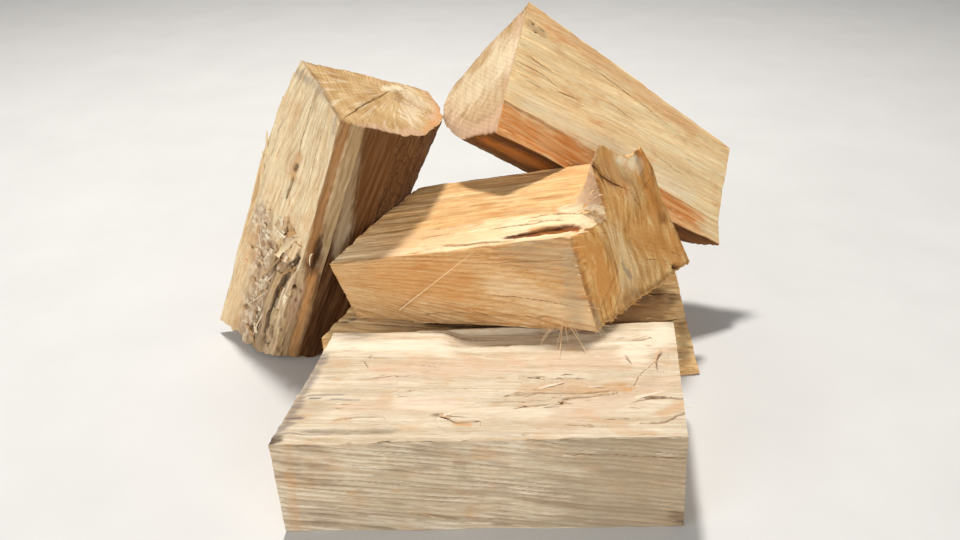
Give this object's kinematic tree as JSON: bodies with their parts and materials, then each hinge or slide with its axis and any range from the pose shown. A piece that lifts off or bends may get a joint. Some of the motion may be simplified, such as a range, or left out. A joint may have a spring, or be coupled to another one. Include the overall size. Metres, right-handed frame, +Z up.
{
  "type": "heap of split firewood",
  "caption": "Loose heap of split pine firewood: sawn and split logs lying flat, bridging, leaning and slanting against each other, with torn grain, a knotty flared end and bark sides.",
  "frame": {"origin": "on the ground plane, under the middle of the heap's bounding box", "axes": "+X along the front log, which is the heap's longest extent; +Y towards the back of the heap; +Z up"},
  "size_m": [0.706, 0.5256, 0.43],
  "materials": {
    "pale_wood": "raw split pine, cream with tan streaks along the grain",
    "brown_wood": "raw split pine, darker and mottled brown",
    "orange_wood": "raw split pine, orange tan, with a sawn knotty end",
    "tan_wood": "raw split pine, tan with grey streaks, torn foot and brown bark side",
    "golden_wood": "raw split pine, pale gold with fine diagonal grain"
  },
  "bodies": {
    "root": {"front_split": "pale_wood", "back_split": "brown_wood", "middle_split": "orange_wood", "left_split": "tan_wood", "top_split": "golden_wood"}
  },
  "joints": []
}
